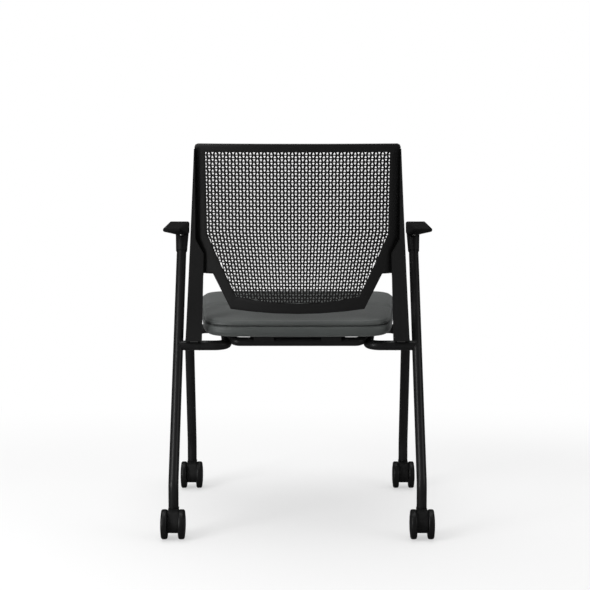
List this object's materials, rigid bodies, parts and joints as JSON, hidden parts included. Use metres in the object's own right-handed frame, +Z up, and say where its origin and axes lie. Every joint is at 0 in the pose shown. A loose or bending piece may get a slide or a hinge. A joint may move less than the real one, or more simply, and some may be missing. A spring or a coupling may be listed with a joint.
{
  "type": "nesting chair",
  "caption": "Office nesting chair on casters: flip-up padded seat, perforated plastic back, bent-tube side frames and short arm pads.",
  "frame": {"origin": "on the floor, under the middle of the chair's box", "axes": "+Z up, -Y the way the sitter faces, +X the sitter's left"},
  "size_m": [0.604, 0.5988, 0.849],
  "materials": {
    "frame_paint": "satin black powder coat",
    "moulded_plastic": "fine-textured black moulding",
    "back_plastic": "semi-matt black moulding",
    "arm_pad_plastic": "soft-grained black moulding",
    "seat_vinyl": "dark grey-green upholstery vinyl, fine grain",
    "bumper_rubber": "matt rubber",
    "caster_tread": "black nylon, lightly glossy",
    "fastener_steel": "zinc-plated steel"
  },
  "bodies": {
    "frame": {"rear_leg_left": "frame_paint", "rear_leg_right": "frame_paint", "front_leg_left": "frame_paint", "front_leg_right": "frame_paint", "cross_tube": "frame_paint", "stub_rings": "frame_paint", "upright_left": "moulded_plastic", "upright_right": "moulded_plastic", "upright_bracket_left": "fastener_steel", "upright_bracket_right": "fastener_steel", "upright_screws": "fastener_steel", "back_shell": "back_plastic", "back_screws": "fastener_steel", "arm_sleeve_left": "moulded_plastic", "arm_sleeve_right": "moulded_plastic", "arm_plate_left": "fastener_steel", "arm_plate_right": "fastener_steel", "arm_pad_left": "arm_pad_plastic", "arm_pad_right": "arm_pad_plastic", "arm_screws": "fastener_steel", "socket_rear_left": "moulded_plastic", "socket_rear_right": "moulded_plastic", "socket_front_left": "moulded_plastic", "socket_front_right": "moulded_plastic", "stem_rear_left": "fastener_steel", "stem_rear_right": "fastener_steel", "stem_front_left": "fastener_steel", "stem_front_right": "fastener_steel"},
    "seat": {"seat_pan": "moulded_plastic", "seat_cushion": "seat_vinyl", "hinge_clip_left": "moulded_plastic", "hinge_clip_right": "moulded_plastic", "hinge_screws": "fastener_steel", "seat_bumpers": "bumper_rubber"},
    "caster_fork_rear_left": {"caster_rear_left": "moulded_plastic", "axle_rear_left": "fastener_steel"},
    "caster_fork_rear_right": {"caster_rear_right": "moulded_plastic", "axle_rear_right": "fastener_steel"},
    "caster_fork_front_left": {"caster_front_left": "moulded_plastic", "axle_front_left": "fastener_steel"},
    "caster_fork_front_right": {"caster_front_right": "moulded_plastic", "axle_front_right": "fastener_steel"},
    "wheel_rear_left_outer_body": {"wheel_rear_left_outer": "caster_tread"},
    "wheel_rear_left_inner_body": {"wheel_rear_left_inner": "caster_tread"},
    "wheel_rear_right_outer_body": {"wheel_rear_right_outer": "caster_tread"},
    "wheel_rear_right_inner_body": {"wheel_rear_right_inner": "caster_tread"},
    "wheel_front_left_outer_body": {"wheel_front_left_outer": "caster_tread"},
    "wheel_front_left_inner_body": {"wheel_front_left_inner": "caster_tread"},
    "wheel_front_right_outer_body": {"wheel_front_right_outer": "caster_tread"},
    "wheel_front_right_inner_body": {"wheel_front_right_inner": "caster_tread"}
  },
  "joints": [
    {"name": "seat_flip", "type": "hinge", "parent": "frame", "child": "seat", "pos_m": [0, 0.10143, 0.4045], "axis": [-1, 0, 0], "range_deg": [0, 70]},
    {"name": "swivel_rear_left", "type": "hinge", "parent": "frame", "child": "caster_fork_rear_left", "pos_m": [0.268, 0.24943, 0.064], "axis": [0, 0, 1], "continuous": true},
    {"name": "roll_rear_left_outer", "type": "hinge", "parent": "caster_fork_rear_left", "child": "wheel_rear_left_outer_body", "pos_m": [0.2872, 0.26743, 0.032], "axis": [1, 0, 0], "continuous": true},
    {"name": "roll_rear_left_inner", "type": "hinge", "parent": "caster_fork_rear_left", "child": "wheel_rear_left_inner_body", "pos_m": [0.2488, 0.26743, 0.032], "axis": [1, 0, 0], "continuous": true},
    {"name": "swivel_rear_right", "type": "hinge", "parent": "frame", "child": "caster_fork_rear_right", "pos_m": [-0.268, 0.24943, 0.064], "axis": [0, 0, 1], "continuous": true},
    {"name": "roll_rear_right_outer", "type": "hinge", "parent": "caster_fork_rear_right", "child": "wheel_rear_right_outer_body", "pos_m": [-0.2872, 0.26743, 0.032], "axis": [1, 0, 0], "continuous": true},
    {"name": "roll_rear_right_inner", "type": "hinge", "parent": "caster_fork_rear_right", "child": "wheel_rear_right_inner_body", "pos_m": [-0.2488, 0.26743, 0.032], "axis": [1, 0, 0], "continuous": true},
    {"name": "swivel_front_left", "type": "hinge", "parent": "frame", "child": "caster_fork_front_left", "pos_m": [0.2575, -0.23157, 0.064], "axis": [0, 0, 1], "continuous": true},
    {"name": "roll_front_left_outer", "type": "hinge", "parent": "caster_fork_front_left", "child": "wheel_front_left_outer_body", "pos_m": [0.2767, -0.21357, 0.032], "axis": [1, 0, 0], "continuous": true},
    {"name": "roll_front_left_inner", "type": "hinge", "parent": "caster_fork_front_left", "child": "wheel_front_left_inner_body", "pos_m": [0.2383, -0.21357, 0.032], "axis": [1, 0, 0], "continuous": true},
    {"name": "swivel_front_right", "type": "hinge", "parent": "frame", "child": "caster_fork_front_right", "pos_m": [-0.2575, -0.23157, 0.064], "axis": [0, 0, 1], "continuous": true},
    {"name": "roll_front_right_outer", "type": "hinge", "parent": "caster_fork_front_right", "child": "wheel_front_right_outer_body", "pos_m": [-0.2767, -0.21357, 0.032], "axis": [1, 0, 0], "continuous": true},
    {"name": "roll_front_right_inner", "type": "hinge", "parent": "caster_fork_front_right", "child": "wheel_front_right_inner_body", "pos_m": [-0.2383, -0.21357, 0.032], "axis": [1, 0, 0], "continuous": true}
  ]
}
